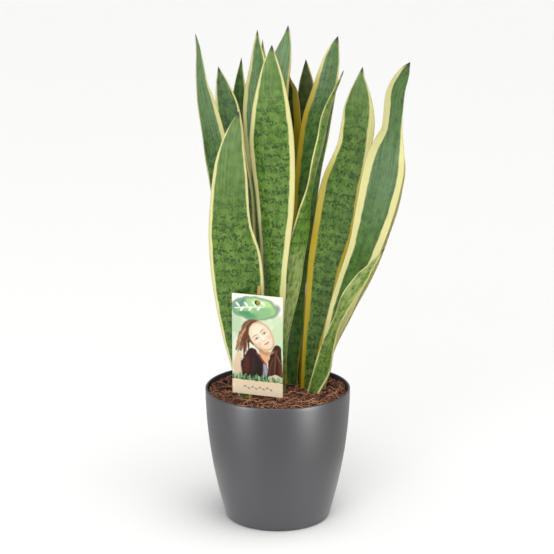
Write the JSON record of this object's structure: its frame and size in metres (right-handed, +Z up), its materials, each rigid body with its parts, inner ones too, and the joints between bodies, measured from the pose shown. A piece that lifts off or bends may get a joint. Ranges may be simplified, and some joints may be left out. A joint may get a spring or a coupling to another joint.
{
  "type": "potted snake plant",
  "caption": "Snake plant with upright sword-shaped leaves growing in coir soil in a round tapered plastic pot, with a care card on a wooden stick.",
  "frame": {"origin": "middle of the pot's flat underside, on the surface the pot stands on", "axes": "+Z up, -Y to the front, where the care card faces, +X to the right seen from the front"},
  "size_m": [0.2583, 0.183, 0.619],
  "materials": {
    "pot_plastic": "satin moulded polypropylene, dark grey",
    "coir_soil": "loose coir chips and fibres",
    "rhizome_skin": "smooth root skin",
    "leaf_skin": "waxy leaf, green with dark bands and yellow margins",
    "card_stock": "printed card, satin",
    "stick_wood": "plain bamboo"
  },
  "bodies": {
    "root": {"pot": "pot_plastic", "soil": "coir_soil", "rhizome_left": "rhizome_skin", "rhizome_back_left": "rhizome_skin", "rhizome_centre": "rhizome_skin", "rhizome_back_right": "rhizome_skin", "rhizome_right": "rhizome_skin", "leaf_far_left": "leaf_skin", "leaf_front_left": "leaf_skin", "leaf_left_inner": "leaf_skin", "leaf_left_back": "leaf_skin", "leaf_centre_back_left": "leaf_skin", "leaf_back_slip": "leaf_skin", "leaf_centre_front": "leaf_skin", "leaf_centre_back": "leaf_skin", "leaf_centre_shaded": "leaf_skin", "leaf_back_dark": "leaf_skin", "leaf_centre_right": "leaf_skin", "leaf_twisted": "leaf_skin", "leaf_right_inner": "leaf_skin", "leaf_right_outer": "leaf_skin", "leaf_right_back": "leaf_skin", "leaf_right_small": "leaf_skin", "label_card": "card_stock", "label_stick": "stick_wood"}
  },
  "joints": []
}
